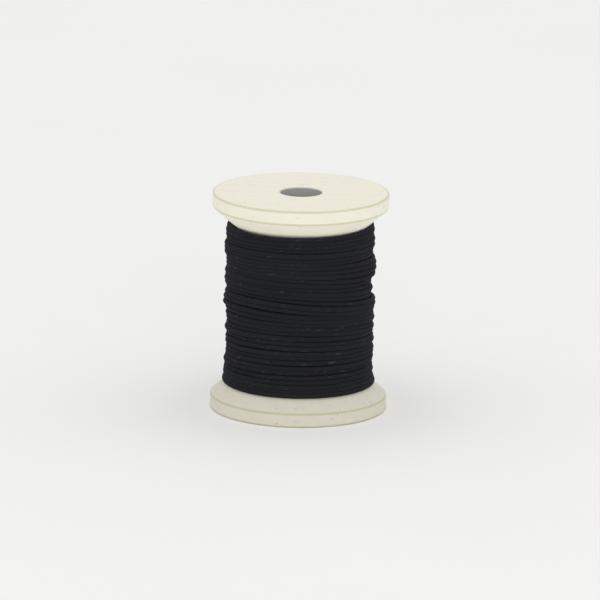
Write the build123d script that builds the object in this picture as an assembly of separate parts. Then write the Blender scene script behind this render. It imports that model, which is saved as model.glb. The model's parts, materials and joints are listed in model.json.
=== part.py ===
from build123d import *
import os
from math import cos, radians, tan

# A wooden thread spool, full of thread, standing on one end. It is turned in three pieces, two flanges and
# a barrel, and the barrel's spigots are glued into sockets in the flanges. Lengths are in millimetres and
# angles in degrees. The origin is the centre of the lower flange's flat face, and +Z runs up the bore.

# Overall sizes
SPOOL_HEIGHT = 40.0
FLANGE_DIAMETER = 32.0

# Flanges: a short straight rim, then a bevel that runs in to the barrel
RIM_HEIGHT = 2.5
BEVEL_ANGLE = 41.0  # from the flat face
EDGE_ROUND = 0.25  # both edges of the rim, and the mouth of the bore

# Bore for the pin that the spool turns on
BORE_DIAMETER = 7.5

# Barrel, and the spigot at each of its ends
BARREL_DIAMETER = 14.0
SHOULDER_WIDTH = 1.5  # the step from the barrel in to its spigot
SPIGOT_LENGTH = 5.0
SPIGOT_CHAMFER = 0.4

# Thread, wound from bevel to bevel
RIM_OVERHANG = 2.75  # how far the rim stands out past the end of the winding's outer layer
WINDING_CROWN = 0.2  # how much fatter the winding is at its middle, on the radius
WINDING_CORNER = 0.4  # rounding at each end of the outer layer, half a thread's thickness

# Clearances
GLUE_GAP = 0.05  # around the spigot, on the radius
SPIGOT_END_GAP = 0.2  # from the spigot's end to the socket's floor, so that the shoulder seats
WINDING_GAP = 0.1  # from the winding's outline to the wood

# Worked out from the sizes above
flange_radius = FLANGE_DIAMETER / 2
bore_radius = BORE_DIAMETER / 2
barrel_radius = BARREL_DIAMETER / 2
spigot_radius = barrel_radius - SHOULDER_WIDTH
socket_radius = spigot_radius + GLUE_GAP


def bevel_height(radius):
    """The height of the lower flange's bevel at a radius."""
    return RIM_HEIGHT + (flange_radius - radius) * tan(radians(BEVEL_ANGLE))


shoulder_height = bevel_height(barrel_radius)  # the bevel meets the barrel where the shoulder seats
spigot_end = shoulder_height - SPIGOT_LENGTH
socket_floor = spigot_end - SPIGOT_END_GAP


def half_section(*corners):
    """One side of a turned piece, cut through its axis, from its corners as (radius, height)."""
    return make_face(Plane.XZ * Polyline(*corners, close=True))


def nearest_corner(section, radius, height):
    """The corner of a half section that lies at a radius and a height."""
    return section.vertices().sort_by_distance((radius, 0, height))[0]


def turn(section):
    """The solid that a half section sweeps in one whole turn about the bore's axis."""
    return revolve(section, Axis.Z)


def flange():
    """The lower flange: flat face down, with a through bore and the socket for the spigot."""
    section = half_section(
        (bore_radius, 0),
        (flange_radius, 0),
        (flange_radius, RIM_HEIGHT),
        (barrel_radius, shoulder_height),
        (socket_radius, shoulder_height),
        (socket_radius, socket_floor),
        (bore_radius, socket_floor),
    )
    for radius, height in ((bore_radius, 0), (flange_radius, 0), (flange_radius, RIM_HEIGHT)):
        section = fillet(nearest_corner(section, radius, height), EDGE_ROUND)
    return turn(section)


def barrel():
    """The barrel, with a shoulder and a reduced spigot at each end."""
    top = SPOOL_HEIGHT
    section = half_section(
        (bore_radius, spigot_end),
        (spigot_radius, spigot_end),
        (spigot_radius, shoulder_height),
        (barrel_radius, shoulder_height),
        (barrel_radius, top - shoulder_height),
        (spigot_radius, top - shoulder_height),
        (spigot_radius, top - spigot_end),
        (bore_radius, top - spigot_end),
    )
    for height in (spigot_end, top - spigot_end):
        section = chamfer(nearest_corner(section, spigot_radius, height), SPIGOT_CHAMFER)
    return turn(section)


def winding():
    """The outer shape of the whole winding, as one closed ring between the bevels."""
    inner_radius = barrel_radius + WINDING_GAP
    outer_radius = flange_radius - RIM_OVERHANG
    bevel_gap = WINDING_GAP / cos(radians(BEVEL_ANGLE))

    def low(radius):
        return bevel_height(radius) + bevel_gap

    def high(radius):
        return SPOOL_HEIGHT - low(radius)

    ends = Polyline(
        (outer_radius, low(outer_radius)),
        (inner_radius, low(inner_radius)),
        (inner_radius, high(inner_radius)),
        (outer_radius, high(outer_radius)),
    )
    crown = ThreePointArc(ends @ 1, (outer_radius + WINDING_CROWN, SPOOL_HEIGHT / 2), ends @ 0)
    section = make_face(Plane.XZ * (ends + crown))
    for height in (low(outer_radius), high(outer_radius)):
        section = fillet(nearest_corner(section, outer_radius, height), WINDING_CORNER)
    return turn(section)


bottom_flange = flange()
turned_over = Pos(0, 0, SPOOL_HEIGHT) * Rot(180, 0, 0)

pieces = {
    "bottom_flange": bottom_flange,
    "top_flange": turned_over * bottom_flange,
    "barrel": barrel(),
    "thread_winding": winding(),
}

os.makedirs("parts", exist_ok=True)
for name, piece in pieces.items():
    export_step(piece, os.path.join("parts", name + ".step"))
    print(name, "volume", round(piece.volume), "mm3")
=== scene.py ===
"""A wooden spool of thread: two turned flanges on a barrel, wound with one length of dark thread."""

import json
from math import cos, hypot, pi, radians, sin, sqrt, tanh

import bpy
import numpy as np
from mathutils import Matrix, Vector


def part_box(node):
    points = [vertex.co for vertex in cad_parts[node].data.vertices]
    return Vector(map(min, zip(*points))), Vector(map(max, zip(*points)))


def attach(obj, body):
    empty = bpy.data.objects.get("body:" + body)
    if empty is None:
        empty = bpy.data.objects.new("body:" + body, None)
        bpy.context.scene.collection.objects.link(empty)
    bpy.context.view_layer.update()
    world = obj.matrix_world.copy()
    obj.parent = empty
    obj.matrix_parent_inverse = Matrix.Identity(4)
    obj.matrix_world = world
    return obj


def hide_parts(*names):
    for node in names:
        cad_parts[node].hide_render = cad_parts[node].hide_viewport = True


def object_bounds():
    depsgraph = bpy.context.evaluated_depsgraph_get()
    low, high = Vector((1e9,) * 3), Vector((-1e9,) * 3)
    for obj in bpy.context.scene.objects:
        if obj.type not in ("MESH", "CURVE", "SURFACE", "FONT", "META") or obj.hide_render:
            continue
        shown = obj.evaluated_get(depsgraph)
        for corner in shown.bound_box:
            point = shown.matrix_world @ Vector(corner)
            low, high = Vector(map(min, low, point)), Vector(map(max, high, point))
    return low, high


bl_info = {
    "name": "Spool of Thread",
    "version": (1, 0, 0),
    "blender": (4, 5, 0),
    "location": "View3D > Sidebar > Spool",
    "description": "Turns a wooden spool, winds it with thread and sets it on a studio floor",
    "category": "Add Mesh",
}

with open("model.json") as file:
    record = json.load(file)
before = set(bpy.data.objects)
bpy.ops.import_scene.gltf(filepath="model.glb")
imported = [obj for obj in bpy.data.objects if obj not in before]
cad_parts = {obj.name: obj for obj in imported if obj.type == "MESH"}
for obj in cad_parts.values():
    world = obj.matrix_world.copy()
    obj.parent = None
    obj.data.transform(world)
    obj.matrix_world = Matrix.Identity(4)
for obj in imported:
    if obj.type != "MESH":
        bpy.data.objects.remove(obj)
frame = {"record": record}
CAD_BOX = [list(corner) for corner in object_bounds()]
BODY = "root"
MM = 0.001
WELD = 0.001 * MM  # points nearer than this are one point

flange_low, flange_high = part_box("bottom_flange")
barrel_low, barrel_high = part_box("barrel")
winding_low, winding_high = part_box("thread_winding")
bore = next(m for m in frame["record"]["mounts"] if m["name"] == "spindle_bore")

SPOOL_HEIGHT = CAD_BOX[1][2]
RIM_RADIUS = flange_high.x
NECK_HEIGHT = flange_high.z
BARREL_RADIUS = barrel_high.x
SPIGOT_END = barrel_low.z
BORE_RADIUS = bore["dims"]["r_mm"] * MM
FRONT = -pi / 2  # the angle about the bore that faces the camera


# Settings


class SpoolWood(bpy.types.PropertyGroup):
    """Sizes and colours of the turned wood."""

    rim_height: bpy.props.FloatProperty(
        name="Rim height",
        description="Height of the straight rim between the flat face and the bevel",
        default=2.5 * MM, min=0.5 * MM, unit="LENGTH",
    )
    edge_round: bpy.props.FloatProperty(
        name="Edge rounding",
        description="Radius of the rim's edges and of the bore's mouth",
        default=0.25 * MM, min=0.01 * MM, unit="LENGTH",
    )
    shoulder: bpy.props.FloatProperty(
        name="Shoulder",
        description="Step from the barrel in to its spigot",
        default=1.5 * MM, min=0.1 * MM, unit="LENGTH",
    )
    glue_gap: bpy.props.FloatProperty(
        name="Glue gap",
        description="Clearance round the spigot in its socket",
        default=0.05 * MM, min=0.0, unit="LENGTH",
    )
    end_gap: bpy.props.FloatProperty(
        name="End gap",
        description="Clearance between the spigot's end and the socket's floor",
        default=0.2 * MM, min=0.0, unit="LENGTH",
    )
    facets: bpy.props.IntProperty(
        name="Facets",
        description="Faces round each turned piece",
        default=192, min=24,
    )
    wood_colour: bpy.props.FloatVectorProperty(
        name="Wood",
        description="Colour of the bleached wood",
        subtype="COLOR", size=3, min=0.0, max=1.0,
        default=(0.88, 0.85, 0.715),
    )
    # Painted shade: the lower flange is painted darker, as the shade that falls lower on the spool.
    lower_painted_shade: bpy.props.FloatProperty(
        name="Lower flange",
        description="Brightness of the lower flange's wood beside the upper's",
        default=0.78, min=0.0, max=1.0, subtype="FACTOR",
    )
    # Painted light: the upper flange's bevel is painted lighter, as light it doesn't get where it faces
    # down.
    bevel_painted_light: bpy.props.FloatProperty(
        name="Upper bevel",
        description="How much lighter the upper flange's bevel is than its rim",
        default=0.12, min=0.0, max=0.13, subtype="FACTOR",
    )
    edge_colour: bpy.props.FloatVectorProperty(
        name="Burnished edge",
        description="Colour of the rubbed edges of the rim and of the bore's mouth",
        subtype="COLOR", size=3, min=0.0, max=1.0,
        default=(0.61, 0.56, 0.33),
    )


class SpoolThread(bpy.types.PropertyGroup):
    """Sizes and colours of the thread."""

    diameter: bpy.props.FloatProperty(
        name="Thread diameter",
        description="Thickness of the thread",
        default=0.86 * MM, min=0.3 * MM, unit="LENGTH",
    )
    flattening: bpy.props.FloatProperty(
        name="Flattening",
        description="How much wider and lower the thread is where it lies pressed among its turns",
        default=0.02, min=0.0, max=0.5, subtype="FACTOR",
    )
    pitch: bpy.props.FloatProperty(
        name="Pitch",
        description="Distance along the barrel from one turn to the next",
        default=0.825 * MM, min=0.3 * MM, unit="LENGTH",
    )
    layers: bpy.props.IntProperty(
        name="Layers",
        description="Layers of turns on the barrel",
        default=9, min=1,
    )
    outer_radius: bpy.props.FloatProperty(
        name="Outer radius",
        description="Radius of the full winding at mid height",
        default=winding_high.x - 0.12 * MM, min=8 * MM, unit="LENGTH",
    )
    climb: bpy.props.FloatProperty(
        name="Climb",
        description="How far the last layer's lowest turn climbs the bevel, on the radius",
        default=0.6 * MM, min=0.0, unit="LENGTH",
    )
    sway: bpy.props.FloatProperty(
        name="Sway",
        description="How far neighbouring turns sway up and down together",
        default=0.07 * MM, min=0.0, unit="LENGTH",
    )
    wander: bpy.props.FloatProperty(
        name="Wander",
        description="How far one turn wanders up and down beside the last",
        default=0.025 * MM, min=0.0, unit="LENGTH",
    )
    unevenness: bpy.props.FloatProperty(
        name="Unevenness",
        description="How far the turns of one layer may lie from their layer's radius",
        default=0.17 * MM, min=0.01 * MM, unit="LENGTH",
    )
    strays: bpy.props.IntProperty(
        name="Strays",
        description="Number of places where an outer turn strays over its neighbours",
        default=2, min=0,
    )
    lean: bpy.props.FloatProperty(
        name="Lean",
        description="How far the turns at mid height are tipped up at the front",
        default=1.0 * MM, unit="LENGTH",
    )
    slump: bpy.props.FloatProperty(
        name="Slump",
        description="How far the middle turns are tipped down at the right and up at the left",
        default=0.75 * MM, min=0.0, unit="LENGTH",
    )
    looseness: bpy.props.FloatProperty(
        name="Looseness",
        description="How far each turn stands in or out beside the last",
        default=0.15 * MM, min=0.0, unit="LENGTH",
    )
    thread_colour: bpy.props.FloatVectorProperty(
        name="Thread",
        description="Colour of the dyed thread",
        subtype="COLOR", size=3, min=0.0, max=1.0,
        default=(0.0140, 0.0146, 0.0167),
    )
    # Painted highlights: paler dashes on the thread, as light caught by its fibres.
    dash_highlight_colour: bpy.props.FloatVectorProperty(
        name="Fleck",
        description="Colour of the few paler fibres",
        subtype="COLOR", size=3, min=0.0, max=1.0,
        default=(0.054, 0.057, 0.066),
    )


class SpoolStage(bpy.types.PropertyGroup):
    """The studio floor, lights and camera."""

    floor_colour: bpy.props.FloatVectorProperty(
        name="Floor",
        description="Colour of the floor",
        subtype="COLOR", size=3, min=0.0, max=1.0,
        default=(0.93, 0.93, 0.92),
    )
    sky: bpy.props.FloatProperty(
        name="Sky",
        description="Strength of the soft light from all round",
        default=0.92, min=0.0,
    )
    lamp: bpy.props.FloatProperty(
        name="Lamp",
        description="Power of the lamp in front, in watts",
        default=1.0, min=0.0,
    )
    elevation: bpy.props.FloatProperty(
        name="Elevation",
        description="Angle at which the camera looks down on the spool",
        default=radians(13.8), subtype="ANGLE",
    )
    distance: bpy.props.FloatProperty(
        name="Distance",
        description="Distance from the camera to the spool",
        default=1.525, min=0.1, unit="LENGTH",
    )
    lens: bpy.props.FloatProperty(
        name="Lens",
        description="Focal length of the camera, in millimetres",
        default=504.0, min=20.0,
    )
    roll: bpy.props.FloatProperty(
        name="Roll",
        description="How far the camera is rolled about its line of sight",
        default=radians(0.88), subtype="ANGLE",
    )


# Materials


class Wire:
    """A socket in a material, which Python's arithmetic works on by adding Math nodes."""

    def __init__(self, recipe, socket):
        self.recipe = recipe
        self.socket = socket

    def math(self, operation, *others):
        return self.recipe.add("ShaderNodeMath", {"operation": operation}, dict(enumerate((self, *others))))

    def other(self, name):
        """Another output of the node that this wire comes from."""
        return Wire(self.recipe, self.socket.node.outputs[name])

    def __add__(self, value):
        return self.math("ADD", value)

    def __sub__(self, value):
        return self.math("SUBTRACT", value)

    def __rsub__(self, value):
        return self.recipe.add("ShaderNodeMath", {"operation": "SUBTRACT"}, {0: value, 1: self})

    def __mul__(self, value):
        return self.math("MULTIPLY", value)

    __radd__ = __add__
    __rmul__ = __mul__

    def __pow__(self, value):
        return self.math("POWER", value)

    def __abs__(self):
        return self.math("ABSOLUTE")

    def sine(self):
        return self.math("SINE")


class Recipe:
    """A material being put together."""

    def __init__(self, name):
        self.material = bpy.data.materials.new(name)
        self.material.use_nodes = True
        self.tree = self.material.node_tree
        self.tree.nodes.clear()

    def add(self, kind, settings=None, inputs=None, output=0):
        """Adds a node: its settings first, then the values or wires of its sockets.

        Returns one of its outputs.
        """
        node = self.tree.nodes.new(kind)
        for name, value in (settings or {}).items():
            setattr(node, name, value)
        for key, value in (inputs or {}).items():
            if isinstance(value, Wire):
                self.tree.links.new(value.socket, node.inputs[key])
            else:
                node.inputs[key].default_value = value
        return Wire(self, node.outputs[output]) if node.outputs else None

    def millimetres(self, turn=0.0):
        """Places on the piece in millimetres, turned about the bore."""
        places = self.add("ShaderNodeTexCoord", output="Object")
        return self.add("ShaderNodeMapping", inputs={
            "Vector": places,
            "Rotation": (0.0, 0.0, turn),
            "Scale": (1 / MM, 1 / MM, 1 / MM),
        })

    def scaled(self, places, x, y, z):
        """Places with each direction stretched or squeezed."""
        return self.add("ShaderNodeVectorMath", {"operation": "MULTIPLY"}, {0: places, 1: (x, y, z)})

    def split(self, places):
        """The three parts of a vector."""
        x = self.add("ShaderNodeSeparateXYZ", inputs={0: places})
        return x, x.other("Y"), x.other("Z")

    def join(self, x, y, z):
        """A vector from its three parts."""
        return self.add("ShaderNodeCombineXYZ", inputs={0: x, 1: y, 2: z})

    def cloud(self, places, scale, detail=2.0, roughness=0.5):
        """Soft noise between 0 and 1."""
        return self.add("ShaderNodeTexNoise", inputs={
            "Vector": places, "Scale": scale, "Detail": detail, "Roughness": roughness,
        })

    def step(self, value, start, end):
        """0 below start and 1 above end, or the other way round, with a smooth ramp between them."""
        if start > end:
            return 1 - self.step(value, end, start)
        return self.add("ShaderNodeMapRange", {"interpolation_type": "SMOOTHSTEP"}, {
            "Value": value, "From Min": start, "From Max": end,
        })

    def blend(self, share, first, second):
        """The first colour where the share is 0 and the second where it is 1."""
        inputs = {0: share, 6: first, 7: second}
        return self.add("ShaderNodeMix", {"data_type": "RGBA"}, inputs, output=2)

    def shade(self, colour, by):
        """A colour made lighter or darker by a number."""
        grey = self.add("ShaderNodeCombineColor", inputs={0: by, 1: by, 2: by})
        settings = {"data_type": "RGBA", "blend_type": "MULTIPLY"}
        return self.add("ShaderNodeMix", settings, {0: 1.0, 6: colour, 7: grey}, output=2)

    def bump(self, height, strength, depth):
        """A normal bent by a height of 0 to 1 that stands for a depth."""
        inputs = {"Height": height, "Strength": strength, "Distance": depth}
        return self.add("ShaderNodeBump", inputs=inputs)

    def finish(self, **sockets):
        """Adds the shader. An underscore in a name stands for a space."""
        inputs = {name.replace("_", " "): value for name, value in sockets.items()}
        shader = self.add("ShaderNodeBsdfPrincipled", inputs=inputs)
        self.add("ShaderNodeOutputMaterial", inputs={"Surface": shader})
        return self.material


def opaque(colour, by=1.0):
    """A colour with its alpha, made darker by a number."""
    return (colour[0] * by, colour[1] * by, colour[2] * by, 1.0)


# Wood: lengths in millimetres
PALE_FLECK = (0.70, 0.71, 0.77)
DARK_FLECK = (0.40, 0.36, 0.30)
# Painted shade down the bore
BORE_PAINTED_SHADE = (0.42, 0.42, 0.42)
FACE_BAND = 0.44  # how wide the edge of the flat face is rubbed
RIM_BAND = 0.30  # and the rim's other edge, and the bore's mouth
BEVEL_LIGHT_START = 0.30  # how far in from the rim the bevel's painted light begins
HALF_HEIGHT = SPOOL_HEIGHT / MM / 2


def bleached_wood(name, wood, grain_turn, painted_shade_brightness=1.0, bevel_painted_light=0.0):
    """Pale close-grained wood, sanded and left bare: faint grain, a few flecks, and rubbed edges.

    The bevel may be painted lighter than the rest, as painted light; a piece may be painted darker, as
    painted shade.
    """
    recipe = Recipe(name)
    places = recipe.millimetres(grain_turn)
    x, y, z = recipe.split(places)
    radius = (x * x + y * y).math("SQRT")
    depth = HALF_HEIGHT - abs(z - HALF_HEIGHT)  # from the nearer of the two flat faces
    rim = wood.rim_height / MM
    bore_edge = BORE_RADIUS / MM
    rim_edge = RIM_RADIUS / MM

    # Growth rings are slices through a tree whose heart lies well to one side, and fibres run along X.
    bent = recipe.cloud(recipe.scaled(places, 0.03, 0.12, 0.12), 1.0) * 5
    rings = abs((y * 0.9 + z * 0.35 + bent).sine())
    fibres = recipe.cloud(recipe.scaled(places, 0.35, 5.0, 5.0), 1.0, 4.0, 0.6)
    mottle = recipe.cloud(recipe.scaled(places, 0.5, 0.9, 0.9), 1.0, 3.0)
    tone = 0.94 + rings * 0.02 + fibres * 0.05 + mottle * 0.03
    # Painted light: the bevel's band is painted lighter by bevel_painted_light.
    bevel = recipe.step(depth, rim, rim + BEVEL_LIGHT_START)
    # Painted shade: a painted_shade_brightness below 1 paints the whole piece darker.
    colour = recipe.shade(opaque(wood.wood_colour, painted_shade_brightness), tone * (1 + bevel * bevel_painted_light))

    # Short flecks along the grain: most are pale and cool, and a few are dark.
    cells = recipe.add("ShaderNodeTexVoronoi", inputs={
        "Vector": recipe.scaled(places, 0.4, 0.95, 0.95), "Scale": 0.8, "Randomness": 1.0,
    }, output="Distance")
    kind = recipe.split(cells.other("Color"))[0]
    ragged = cells + recipe.cloud(places, 2.0) * 0.2 - kind * 0.1
    pale = recipe.step(ragged, 0.28, 0.13) * recipe.step(kind, 0.4, 0.5)
    dark = recipe.step(ragged, 0.24, 0.12) * recipe.step(kind, 0.18, 0.14)
    spot = pale.math("MAXIMUM", dark)
    colour = recipe.blend(pale * 0.7, colour, opaque(PALE_FLECK, painted_shade_brightness))
    colour = recipe.blend(dark * 0.65, colour, opaque(DARK_FLECK, painted_shade_brightness))

    # Edges rubbed darker by handling: a narrow band round each of the turned corners.
    wear = recipe.cloud(places, 0.9, 3.0)
    bands = []
    for edge_radius, edge_depth, reach in (
        (rim_edge, 0.0, FACE_BAND),
        (rim_edge, rim, RIM_BAND),
        (bore_edge, 0.0, RIM_BAND),
    ):
        across = radius - edge_radius
        along = depth - edge_depth
        away = (across * across + along * along).math("SQRT")
        bands.append(recipe.step(away, reach, reach / 2))
    rubbed = bands[0].math("MAXIMUM", bands[1]).math("MAXIMUM", bands[2])
    colour = recipe.blend(rubbed * (0.5 + wear * 0.3), colour, opaque(wood.edge_colour, painted_shade_brightness))

    # Painted shade: the bore's wall is painted grey, as the shade down the hole.
    inside = recipe.step(radius, bore_edge + 0.06, bore_edge)
    colour = recipe.blend(inside * 0.95, colour, opaque(BORE_PAINTED_SHADE))

    turning = (radius * 14).sine() * recipe.step(recipe.cloud(places, 0.4), 0.35, 0.7)
    height = fibres * 0.5 + rings * 0.15 + turning * 0.08 - spot * 0.3
    return recipe.finish(
        Base_Color=colour,
        Roughness=0.5 + fibres * 0.15 - rubbed * 0.12,
        Specular_IOR_Level=0.3,
        Normal=recipe.bump(height, 0.35, 0.03 * MM),
    )


PLIES = 3
TWIST_LENGTH = 4.5  # millimetres of thread in which its plies turn once round


def dyed_thread(thread):
    """Near-black spun thread. Its map runs along it in millimetres, and once round it."""
    recipe = Recipe("dyed_thread")
    lay = recipe.add("ShaderNodeUVMap", {"uv_map": "Lay"})
    along, around, _ = recipe.split(lay)

    twist = around * PLIES + along * (PLIES / TWIST_LENGTH)
    plies = abs((twist * pi).sine())
    fibres = recipe.cloud(recipe.join(along * 0.9, twist * 5, around * 2), 1.0, 3.0, 0.6)
    mottle = recipe.cloud(recipe.join(along * 0.12, around * 0.8, 3.0), 1.0, 2.0)
    tone = 0.62 + plies * 0.12 + fibres * 0.5 + mottle * 0.35
    painted_flank_light = abs((around * (2 * pi)).sine())  # painted light: the flanks, where turns meet, are painted lighter against the shade between them
    colour = recipe.shade(opaque(thread.thread_colour), tone * (1 + painted_flank_light**4.0 * 0.6))

    # Painted highlights: paler short dashes, as light caught by fibres, in some stretches of the thread and
    # not in others.
    dash = recipe.cloud(recipe.join(along * 0.6, around * 6 + along * 0.3, 9.0), 1.0, 1.0)
    rare = recipe.cloud(recipe.join(along * 0.06, around * 0.5, 21.0), 1.0, 1.0)
    highlight_dashes = recipe.step(dash, 0.64, 0.76) * recipe.step(rare, 0.36, 0.56)
    colour = recipe.blend(highlight_dashes * 0.8, colour, opaque(thread.dash_highlight_colour))

    return recipe.finish(
        Base_Color=colour,
        Roughness=0.72 + fibres * 0.2,
        Specular_IOR_Level=0.05,
        Sheen_Weight=0.008,
        Sheen_Roughness=0.5,
        Normal=recipe.bump(plies * 0.5 + fibres * 0.6, 0.5, 0.08 * MM),
    )


def studio_paper(colour):
    """Pale matte paper for the floor."""
    recipe = Recipe("studio_paper")
    tooth = recipe.cloud(recipe.millimetres(), 0.02, 3.0)
    return recipe.finish(
        Base_Color=recipe.shade(opaque(colour), 0.985 + tooth * 0.03),
        Roughness=0.9,
        Specular_IOR_Level=0.1,
    )


# Turned wood


def deselect():
    """Leaves edit mode and selects nothing, because an operator acts on all that is selected."""
    if bpy.context.object and bpy.context.object.mode != "OBJECT":
        bpy.ops.object.mode_set(mode="OBJECT")
    bpy.ops.object.select_all(action="DESELECT")


CREASE = radians(30)  # an edge that turns by more stays sharp


def turn_piece(name, outline, facets):
    """A turned piece, from the corners of its half section as (radius, height), in metres.

    A ring is drawn out from corner to corner and back to where it began.
    """
    deselect()
    radius, height = outline[0]
    bpy.ops.mesh.primitive_circle_add(vertices=facets, radius=radius, location=(0, 0, height))
    piece = bpy.context.object
    piece.name = piece.data.name = name
    bpy.ops.object.mode_set(mode="EDIT")
    bpy.ops.mesh.select_all(action="SELECT")
    for next_radius, next_height in (*outline[1:], outline[0]):
        bpy.ops.mesh.extrude_edges_move(TRANSFORM_OT_translate={"value": (0, 0, next_height - height)})
        if next_radius != radius:
            share = next_radius / radius
            bpy.ops.transform.resize(value=(share, share, 1), center_override=(0, 0, next_height))
        radius, height = next_radius, next_height
    bpy.ops.mesh.select_all(action="SELECT")
    bpy.ops.mesh.remove_doubles(threshold=WELD)
    bpy.ops.mesh.normals_make_consistent(inside=False)
    bpy.ops.mesh.select_all(action="DESELECT")
    bpy.ops.object.mode_set(mode="OBJECT")
    bpy.ops.object.transform_apply(location=True, rotation=True, scale=True)
    return piece


def round_edges(piece, corners, width):
    """Rounds the ring edges of a turned piece that lie at the given corners of its half section."""
    bpy.context.tool_settings.mesh_select_mode = (False, True, False)
    mesh = piece.data
    for edge in mesh.edges:
        ends = [mesh.vertices[i].co for i in edge.vertices]
        edge.select = any(
            all(abs(hypot(p.x, p.y) - radius) + abs(p.z - height) < 10 * WELD for p in ends)
            for radius, height in corners
        )
    bpy.ops.object.mode_set(mode="EDIT")
    bpy.ops.mesh.bevel(offset=width, segments=4, profile=0.5, affect="EDGES")
    bpy.ops.object.mode_set(mode="OBJECT")


def smooth(piece):
    """Shades the piece smooth, apart from its sharp edges."""
    deselect()
    bpy.context.view_layer.objects.active = piece
    piece.select_set(True)
    bpy.ops.object.shade_smooth_by_angle(angle=CREASE)
    bpy.ops.object.modifier_add(type="WEIGHTED_NORMAL")
    piece.modifiers[-1].keep_sharp = True
    bpy.ops.object.modifier_apply(modifier=piece.modifiers[-1].name)


def turn_over(piece, name):
    """A copy of the piece, with its own mesh, turned over about the spool's mid height."""
    deselect()
    bpy.context.view_layer.objects.active = piece
    piece.select_set(True)
    bpy.ops.object.duplicate()
    copy = bpy.context.object
    copy.name = copy.data.name = name
    bpy.ops.object.mode_set(mode="EDIT")
    bpy.ops.mesh.select_all(action="SELECT")
    bpy.ops.transform.rotate(value=pi, orient_axis="X", center_override=(0, 0, SPOOL_HEIGHT / 2))
    bpy.ops.object.mode_set(mode="OBJECT")
    return copy


class SPOOL_OT_turn_flanges(bpy.types.Operator):
    """Turn the two flanges, with their rims, bevels, bore and sockets"""

    bl_idname = "spool.turn_flanges"
    bl_label = "Turn Flanges"

    def execute(self, context):
        wood = context.scene.spool_wood
        socket = BARREL_RADIUS - wood.shoulder + wood.glue_gap
        floor = SPIGOT_END - wood.end_gap
        bottom = turn_piece("flange_bottom", (
            (BORE_RADIUS, 0.0),
            (RIM_RADIUS, 0.0),
            (RIM_RADIUS, wood.rim_height),
            (BARREL_RADIUS, NECK_HEIGHT),
            (socket, NECK_HEIGHT),
            (socket, floor),
            (BORE_RADIUS, floor),
        ), wood.facets)
        edges = ((BORE_RADIUS, 0.0), (RIM_RADIUS, 0.0), (RIM_RADIUS, wood.rim_height))
        round_edges(bottom, edges, wood.edge_round)
        smooth(bottom)
        top = turn_over(bottom, "flange_top")
        for piece, node, grain_turn, painted_shade_brightness, bevel_painted_light in (
            # Painted shade: the lower flange is painted darker.
            (bottom, "bottom_flange", 0.9, wood.lower_painted_shade, 0.0),
            # Painted light: the upper flange's bevel is painted lighter.
            (top, "top_flange", 0.12, 1.0, wood.bevel_painted_light),
        ):
            material = bleached_wood("bleached_wood_" + node, wood, grain_turn, painted_shade_brightness, bevel_painted_light)
            piece.data.materials.append(material)
            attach(piece, BODY)
            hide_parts(node)
        return {"FINISHED"}


class SPOOL_OT_turn_barrel(bpy.types.Operator):
    """Turn the barrel, with a shoulder and a spigot at each end"""

    bl_idname = "spool.turn_barrel"
    bl_label = "Turn Barrel"

    def execute(self, context):
        wood = context.scene.spool_wood
        spigot = BARREL_RADIUS - wood.shoulder
        lower = (
            (BORE_RADIUS, SPIGOT_END),
            (spigot, SPIGOT_END),
            (spigot, NECK_HEIGHT),
            (BARREL_RADIUS, NECK_HEIGHT),
        )
        upper = tuple((radius, SPOOL_HEIGHT - height) for radius, height in reversed(lower))
        barrel = turn_piece("barrel_tube", lower + upper, wood.facets)
        round_edges(barrel, ((spigot, SPIGOT_END), (spigot, SPOOL_HEIGHT - SPIGOT_END)), wood.edge_round)
        smooth(barrel)
        barrel.data.materials.append(bleached_wood("bleached_wood_barrel", wood, 0.0))
        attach(barrel, BODY)
        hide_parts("barrel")
        return {"FINISHED"}


# Thread


class Drift:
    """Smooth, seeded unevenness: a few sine waves over the angle about the bore and the height."""

    def __init__(self, seed, size, waves, shortest, longest):
        dice = np.random.default_rng(seed)
        self.size = size / sqrt(waves / 2)
        self.turns = dice.integers(1, 5, waves)[:, None]
        rates = 2 * pi / dice.uniform(shortest, longest, waves)
        self.rates = (rates * dice.choice((-1, 1), waves))[:, None]
        self.starts = dice.uniform(0, 2 * pi, waves)[:, None]

    def at(self, angles, heights):
        """The drift at each place."""
        return self.size * np.sin(self.turns * angles + self.rates * heights + self.starts).sum(0)


class Bevel:
    """The lower flange's bevel, which the turns at the ends of the layers lie against."""

    def __init__(self, rim_height, diameter):
        self.rim_height = rim_height
        self.slope = (NECK_HEIGHT - rim_height) / (RIM_RADIUS - BARREL_RADIUS)
        self.clear = diameter / 2 * sqrt(1 + self.slope**2)

    def height(self, radius):
        """The height of the middle of a thread that lies on the bevel at a radius."""
        return self.rim_height + (RIM_RADIUS - radius) * self.slope + self.clear

    def radius(self, height):
        """The radius of the middle of a thread that lies on the bevel at a height."""
        return RIM_RADIUS - (height - self.clear - self.rim_height) / self.slope


STEPS = 32  # points of the route in each turn
SIDES = 10  # faces round the thread
INNER_STEP = 4  # one in this many points is kept in the layers that aren't seen
TAPER = 0.55  # size of the thread's cut ends beside the rest
CLOSE = 0.86  # how near two turns come, in thread diameters, because the thread gives where it is pressed
SLIDE = 0.95  # how far a turn slides along from the last one, as a share of that
CROSSING = 0.1  # nearer than this share, it lies across the last one and doesn't slide
SHARED_RISE = 0.35  # how much of the rise two turns side by side keep, because they share the room
SIDE_TIP = 0.45  # how far the turns tip down to the right beside how far they tip up at the front
OUTER_SLACK = 2.5  # how much more uneven the outer layer is than the rest
SLUMP_HEIGHT = 21.4 * MM
SLUMP_SPREAD = 3.5 * MM
INNER_SLUMP = -0.2  # the layers beneath slump the other way, so that gaps don't line up

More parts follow.
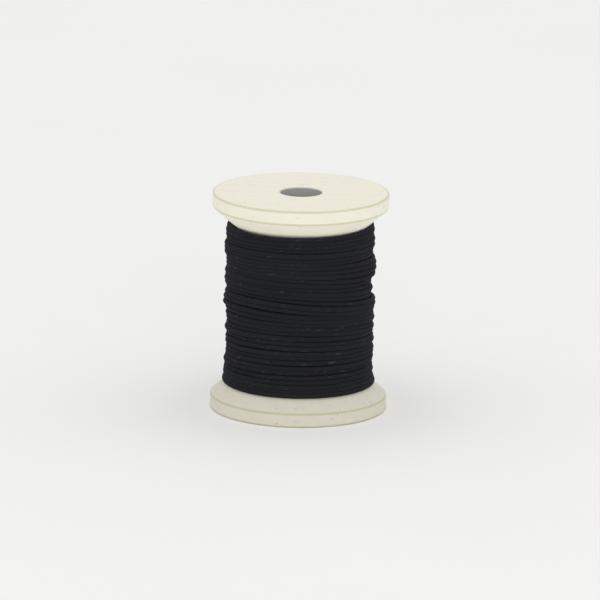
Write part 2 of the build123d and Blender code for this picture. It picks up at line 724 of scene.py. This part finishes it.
# Where the winding is fuller or thinner: angle from the right, height, how far and over what height
SWELLS = (
    (180, 30.0 * MM, 0.15 * MM, 2.0 * MM),
    (180, 20.3 * MM, 0.32 * MM, 1.8 * MM),
    (180, 25.5 * MM, -0.10 * MM, 1.6 * MM),
    (180, 13.0 * MM, -0.10 * MM, 2.5 * MM),
    (0, 30.5 * MM, 0.12 * MM, 1.2 * MM),
    (0, 26.6 * MM, 0.34 * MM, 1.1 * MM),
    (0, 24.1 * MM, -0.36 * MM, 0.9 * MM),
    (0, 19.5 * MM, 0.12 * MM, 2.0 * MM),
)


def swell(angles, heights):
    """How far the winding is fuller at each place."""
    total = np.zeros(len(angles))
    for angle, height, size, spread in SWELLS:
        beside = np.clip(np.cos(angles - radians(angle)), 0, 1) ** 2
        total += size * beside * np.exp(-(((heights - height) / spread) ** 2))
    return total


def layers_of(thread, bevel):
    """The turns evenly spaced, before any of them moves: each point's height, direction and layer."""
    first = BARREL_RADIUS + thread.diameter / 2
    last = thread.outer_radius - thread.diameter / 2
    heights, directions, layers = [], [], []
    for layer in range(thread.layers):
        radius = first + (last - first) * layer / (thread.layers - 1)
        outermost = layer == thread.layers - 1
        climb = thread.climb if outermost else 0
        low = bevel.height(radius + climb)
        high = SPOOL_HEIGHT - bevel.height(radius + climb / 3)
        # The first turn and the last run level, against the bevels. The outermost layer has no last one.
        turns = round((high - low) / thread.pitch) + 2
        count = (turns - outermost) * STEPS
        share = np.clip(np.arange(count) / STEPS - 1, 0, turns - 2) / (turns - 2)
        upwards = (thread.layers - layer) % 2 == 1
        heights.append(low + (high - low) * (share if upwards else 1 - share))
        directions.append(np.full(count, 1 if upwards else -1))
        layers.append(np.full(count, layer))
    return np.concatenate(heights), np.concatenate(directions), np.concatenate(layers)


def wind(thread, rim_height):
    """The thread's route: each turn is laid on what is on the spool already.

    Returns each point's angle about the bore, radius, height and layer.
    """
    close = CLOSE * thread.diameter
    bevel = Bevel(rim_height, thread.diameter)
    first = BARREL_RADIUS + thread.diameter / 2
    last = thread.outer_radius - thread.diameter / 2
    heights, directions, layers = layers_of(thread, bevel)
    count = len(heights)
    steps = np.arange(count)
    outermost = layers == thread.layers - 1
    angles = 2 * pi * steps / STEPS - FRONT  # every layer starts and ends at the back
    dice = np.random.default_rng(11)

    # Turns at mid height are tipped up at the front and down to one side, and all turns sway together.
    low, high = winding_low.z, winding_high.z
    share = np.clip((heights - low) / (high - low), 0, 1)
    hump = np.sin(pi * share)
    free = np.minimum(hump * 2.5, 1)  # turns against the bevels can't move
    tip = thread.lean * (np.cos(angles - FRONT) - SIDE_TIP * hump * np.cos(angles))
    sway = Drift(5, thread.sway, 7, 5 * MM, 12 * MM).at(angles, heights)
    slump = thread.slump * np.exp(-(((heights - SLUMP_HEIGHT) / SLUMP_SPREAD) ** 2)) * np.cos(angles)
    slump *= np.where(outermost, 1.0, INNER_SLUMP)
    placed = heights + hump * (tip + sway) - slump

    # Each turn wanders a little by itself, and now and then one strays over its neighbours.
    wander = np.zeros(count)
    for _ in range(8):
        period = dice.uniform(0.45, 2.4) * STEPS
        wander += thread.wander * np.sin(2 * pi * steps / period + dice.uniform(0, 2 * pi))
    for _ in range(thread.strays):
        middle = dice.integers(count * 3 // 4, count - STEPS)
        half = int(dice.uniform(0.2, 0.45) * STEPS)
        reach = np.arange(middle - half, min(count, middle + half))
        far = dice.choice((-1, 1)) * dice.uniform(0.6, 1.2) * thread.pitch
        wander[reach] += far * np.cos(pi / 2 * (reach - middle) / half) ** 2
    placed += wander * free

    radii = np.zeros(count)
    for i in range(count):
        beneath = np.arange(i % STEPS, i - STEPS // 2, STEPS)
        height = placed[i]
        if len(beneath):
            ahead = (height - placed[beneath[-1]]) * directions[i]
            if CROSSING * close < ahead < SLIDE * close:
                height = placed[beneath[-1]] + directions[i] * SLIDE * close
        placed[i] = height
        radius = against = max(first, bevel.radius(min(height, SPOOL_HEIGHT - height)))
        if len(beneath):
            apart = placed[beneath] - height
            near = np.abs(apart) < close
            if near.any():
                rise = np.sqrt(close**2 - apart[near] ** 2)
                if near[-1] and abs(apart[-1]) > 0.5 * close:
                    rise[-1] *= SHARED_RISE
                radius = max(radius, float((radii[beneath][near] + rise).max()))
        # The pull on the thread keeps every layer near to its own radius.
        even = first + (last - first) * layers[i] / (thread.layers - 1)
        limit = thread.unevenness * (OUTER_SLACK if outermost[i] else 1)
        radii[i] = max(against, even + limit * tanh((radius - even) / limit))
    radii += swell(angles, placed) * layers / (thread.layers - 1)

    # Some stretches are wound tighter than others.
    for _ in range(8):
        period = dice.uniform(0.6, 1.9) * STEPS
        loose = np.sin(2 * pi * steps / period + dice.uniform(0, 2 * pi))
        radii += thread.looseness / 2 * loose * free
    return angles, radii, placed, layers


def eased(values, reach):
    """Values smoothed along the thread, as its stiffness does."""
    weights = np.hanning(2 * reach + 3)[1:-1]
    return np.convolve(np.pad(values, reach, mode="edge"), weights / weights.sum(), mode="valid")


def route_curve(points):
    """One open spline through the route's points, as a curve object that isn't shown."""
    curve = bpy.data.curves.new("thread_route", "CURVE")
    curve.dimensions = "3D"
    curve.resolution_u = 2
    spline = curve.splines.new("NURBS")
    spline.points.add(len(points) - 1)
    spline.points.foreach_set("co", np.column_stack([points, np.ones(len(points))]).ravel())
    spline.order_u = 3
    spline.use_endpoint_u = True
    return bpy.data.objects.new("thread_route", curve)


class SPOOL_OT_wind_thread(bpy.types.Operator):
    """Wind the spool with one continuous length of thread, from the barrel out to the last layer"""

    bl_idname = "spool.wind_thread"
    bl_label = "Wind Thread"

    def execute(self, context):
        thread = context.scene.spool_thread
        angles, radii, heights, layers = wind(thread, context.scene.spool_wood.rim_height)
        radii = eased(radii, 2)
        heights = eased(heights, 2)
        out = radii / cos(pi / STEPS)  # a spline's turns lie inside its points
        points = np.column_stack([out * np.cos(angles), out * np.sin(angles), heights])
        route = route_curve(points)
        line = bpy.data.meshes.new_from_object(route)
        followed = np.array([v.co for v in line.vertices])
        bpy.data.meshes.remove(line)
        turns = np.linspace(0, len(angles) / STEPS, len(followed))

        # Two layers are seen. The rest are left with fewer points of their line.
        layer_turns = np.bincount(layers) / STEPS
        seen = int(len(followed) * (1 - layer_turns[-2:].sum() / turns[-1]))
        kept = np.concatenate([np.arange(0, seen, INNER_STEP), np.arange(seen, len(followed))])
        followed, turns = followed[kept], turns[kept]
        piece = tube("thread", followed, thread)
        # The outer layer has most of the stored map, because it shows.
        shares = (
            (0, 0.08),
            (turns[-1] - layer_turns[-2:].sum(), 0.12),
            (turns[-1] - layer_turns[-1], 0.8),
        )
        map_turns(piece.data, turns, shares)
        piece.data.materials.append(dyed_thread(thread))
        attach(piece, BODY)
        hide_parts("thread_winding")
        return {"FINISHED"}


def tube(name, line, thread):
    """A closed tube along a line that goes round the bore, mapped along and round the thread."""
    count = len(line)
    ahead = np.gradient(line, axis=0)
    ahead /= np.linalg.norm(ahead, axis=1)[:, None]
    out = line * (1, 1, 0)
    out -= (out * ahead).sum(1)[:, None] * ahead
    out /= np.linalg.norm(out, axis=1)[:, None]
    aside = np.cross(ahead, out)
    turn = 2 * pi * np.arange(SIDES) / SIDES + pi  # the map's seam is on the side towards the barrel
    size = np.full(count, thread.diameter / 2)
    size[[0, -1]] *= TAPER
    high = np.cos(turn)[None, :, None] * (1 - thread.flattening) * out[:, None]
    wide = np.sin(turn)[None, :, None] * (1 + thread.flattening) * aside[:, None]
    rings = line[:, None] + size[:, None, None] * (high + wide)
    start = np.arange(count - 1)[:, None] * SIDES
    side = np.arange(SIDES)[None]
    after = (side + 1) % SIDES
    quads = np.stack([start + side, start + after, start + SIDES + after, start + SIDES + side], axis=2)
    faces = quads.reshape(-1, 4).tolist()
    faces += [list(range(SIDES))[::-1], list(range((count - 1) * SIDES, count * SIDES))]
    mesh = bpy.data.meshes.new(name)
    mesh.from_pydata(rings.reshape(-1, 3).tolist(), [], faces)
    far = np.concatenate([[0], np.cumsum(np.linalg.norm(np.diff(line, axis=0), axis=1))]) / MM
    along = np.stack([far[:-1], far[1:]], axis=1)
    map_sides(mesh, "Lay", along, np.zeros(count - 1), np.ones(count - 1))
    mesh.update()
    mesh.shade_smooth()
    piece = bpy.data.objects.new(name, mesh)
    bpy.context.scene.collection.objects.link(piece)
    return piece


def map_sides(mesh, name, along, low, size):
    """Adds a map of a tube. Each pair of rings runs between two values along it.

    Round the tube, the map runs from low over size.
    """
    ends = along[:, [0, 0, 1, 1]][:, None].repeat(SIDES, axis=1)
    side = np.arange(SIDES)
    corners = np.stack([side, side + 1, side + 1, side], axis=1)[None] / SIDES
    around = low[:, None, None] + corners * size[:, None, None]
    places = np.stack([ends, around], axis=-1).reshape(-1, 2)
    places = np.concatenate([places, np.zeros((2 * SIDES, 2))])
    mesh.uv_layers.new(name=name).uv.foreach_set("vector", places.astype(np.float32).ravel())


def map_turns(mesh, turns, shares):
    """Adds the map that the colours can be stored on: a row for each turn, tall for the outer ones.

    Each of the shares is the turn that it starts at, and the part of the map's height that it has.
    """
    middle = np.floor((turns[:-1] + turns[1:]) / 2)
    along = np.clip(np.stack([turns[:-1] - middle, turns[1:] - middle], axis=1), 0, 1)
    low = np.zeros(len(middle))
    size = np.zeros(len(middle))
    base = 0.0
    ends = [start for start, _ in shares[1:]] + [turns[-1]]
    for (start, share), end in zip(shares, ends, strict=True):
        rows = np.ceil(end) - np.floor(start)
        within = (middle >= np.floor(start)) & (middle < np.ceil(end))
        low[within] = base + share * (middle[within] - np.floor(start)) / rows
        size[within] = share / rows
        base += share
    map_sides(mesh, "OFBake", along, low, size)


# Stage


FLOOR_SIDE = 12.0
LAMP_PLACE = Vector((0.08, -0.93, 0.35))
LAMP_SIZE = 0.5
CAMERA_AIM = Vector((0.0001, 0, 0.01985))


class SPOOL_OT_set_stage(bpy.types.Operator):
    """Lay the floor, and set the lights and the camera"""

    bl_idname = "spool.set_stage"
    bl_label = "Set Stage"

    def execute(self, context):
        stage = context.scene.spool_stage
        deselect()
        bpy.ops.mesh.primitive_plane_add(size=FLOOR_SIDE, location=(0, 0, 0))
        floor = context.object
        floor.name = floor.data.name = "studio_floor"
        floor.data.materials.append(studio_paper(stage.floor_colour))

        world = bpy.data.worlds.new("studio")
        context.scene.world = world
        world.use_nodes = True
        sky = world.node_tree.nodes["Background"]
        sky.inputs["Color"].default_value = (1.0, 1.0, 1.0, 1.0)
        sky.inputs["Strength"].default_value = stage.sky
        context.scene.view_settings.view_transform = "Standard"

        light = bpy.data.lights.new("front_box", "AREA")
        light.shape = "DISK"
        light.size = LAMP_SIZE
        light.energy = stage.lamp
        lamp = bpy.data.objects.new("front_box", light)
        lamp.location = LAMP_PLACE
        middle = Vector((0, 0, SPOOL_HEIGHT / 2))
        lamp.rotation_euler = (middle - LAMP_PLACE).to_track_quat("-Z", "Y").to_euler()
        context.scene.collection.objects.link(lamp)

        camera = bpy.data.cameras.new("camera")
        camera.sensor_width = 36.0
        camera.lens = stage.lens
        camera.clip_end = 50.0
        eye = bpy.data.objects.new("camera", camera)
        sight = Vector((0, -cos(stage.elevation), sin(stage.elevation)))
        eye.matrix_world = (
            Matrix.Translation(CAMERA_AIM + stage.distance * sight)
            @ (-sight).to_track_quat("-Z", "Y").to_matrix().to_4x4()
            @ Matrix.Rotation(stage.roll, 4, "Z")
        )
        context.scene.collection.objects.link(eye)
        context.scene.camera = eye
        return {"FINISHED"}


class SPOOL_PT_bench(bpy.types.Panel):
    """The steps of making the spool"""

    bl_label = "Spool of Thread"
    bl_idname = "SPOOL_PT_bench"
    bl_space_type = "VIEW_3D"
    bl_region_type = "UI"
    bl_category = "Spool"

    def draw(self, context):
        for settings, step in STEPS_OF_MAKING:
            box = self.layout.box()
            group = getattr(context.scene, settings)
            for name in group.bl_rna.properties.keys():
                if name not in ("rna_type", "name"):
                    box.prop(group, name)
            for operator in step:
                box.operator(operator.bl_idname)


STEPS_OF_MAKING = (
    ("spool_stage", (SPOOL_OT_set_stage,)),
    ("spool_thread", (SPOOL_OT_wind_thread,)),
    ("spool_wood", (SPOOL_OT_turn_flanges, SPOOL_OT_turn_barrel)),
)
SETTINGS = {"spool_wood": SpoolWood, "spool_thread": SpoolThread, "spool_stage": SpoolStage}
CLASSES = (
    *SETTINGS.values(),
    SPOOL_OT_set_stage,
    SPOOL_OT_wind_thread,
    SPOOL_OT_turn_flanges,
    SPOOL_OT_turn_barrel,
    SPOOL_PT_bench,
)


def register():
    for item in CLASSES:
        bpy.utils.register_class(item)
    for name, group in SETTINGS.items():
        setattr(bpy.types.Scene, name, bpy.props.PointerProperty(type=group))


def unregister():
    for name in SETTINGS:
        delattr(bpy.types.Scene, name)
    for item in reversed(CLASSES):
        bpy.utils.unregister_class(item)


def main():
    register()
    bpy.ops.spool.set_stage()
    bpy.ops.spool.wind_thread()
    bpy.ops.spool.turn_flanges()
    bpy.ops.spool.turn_barrel()


if __name__ == "__main__":
    main()
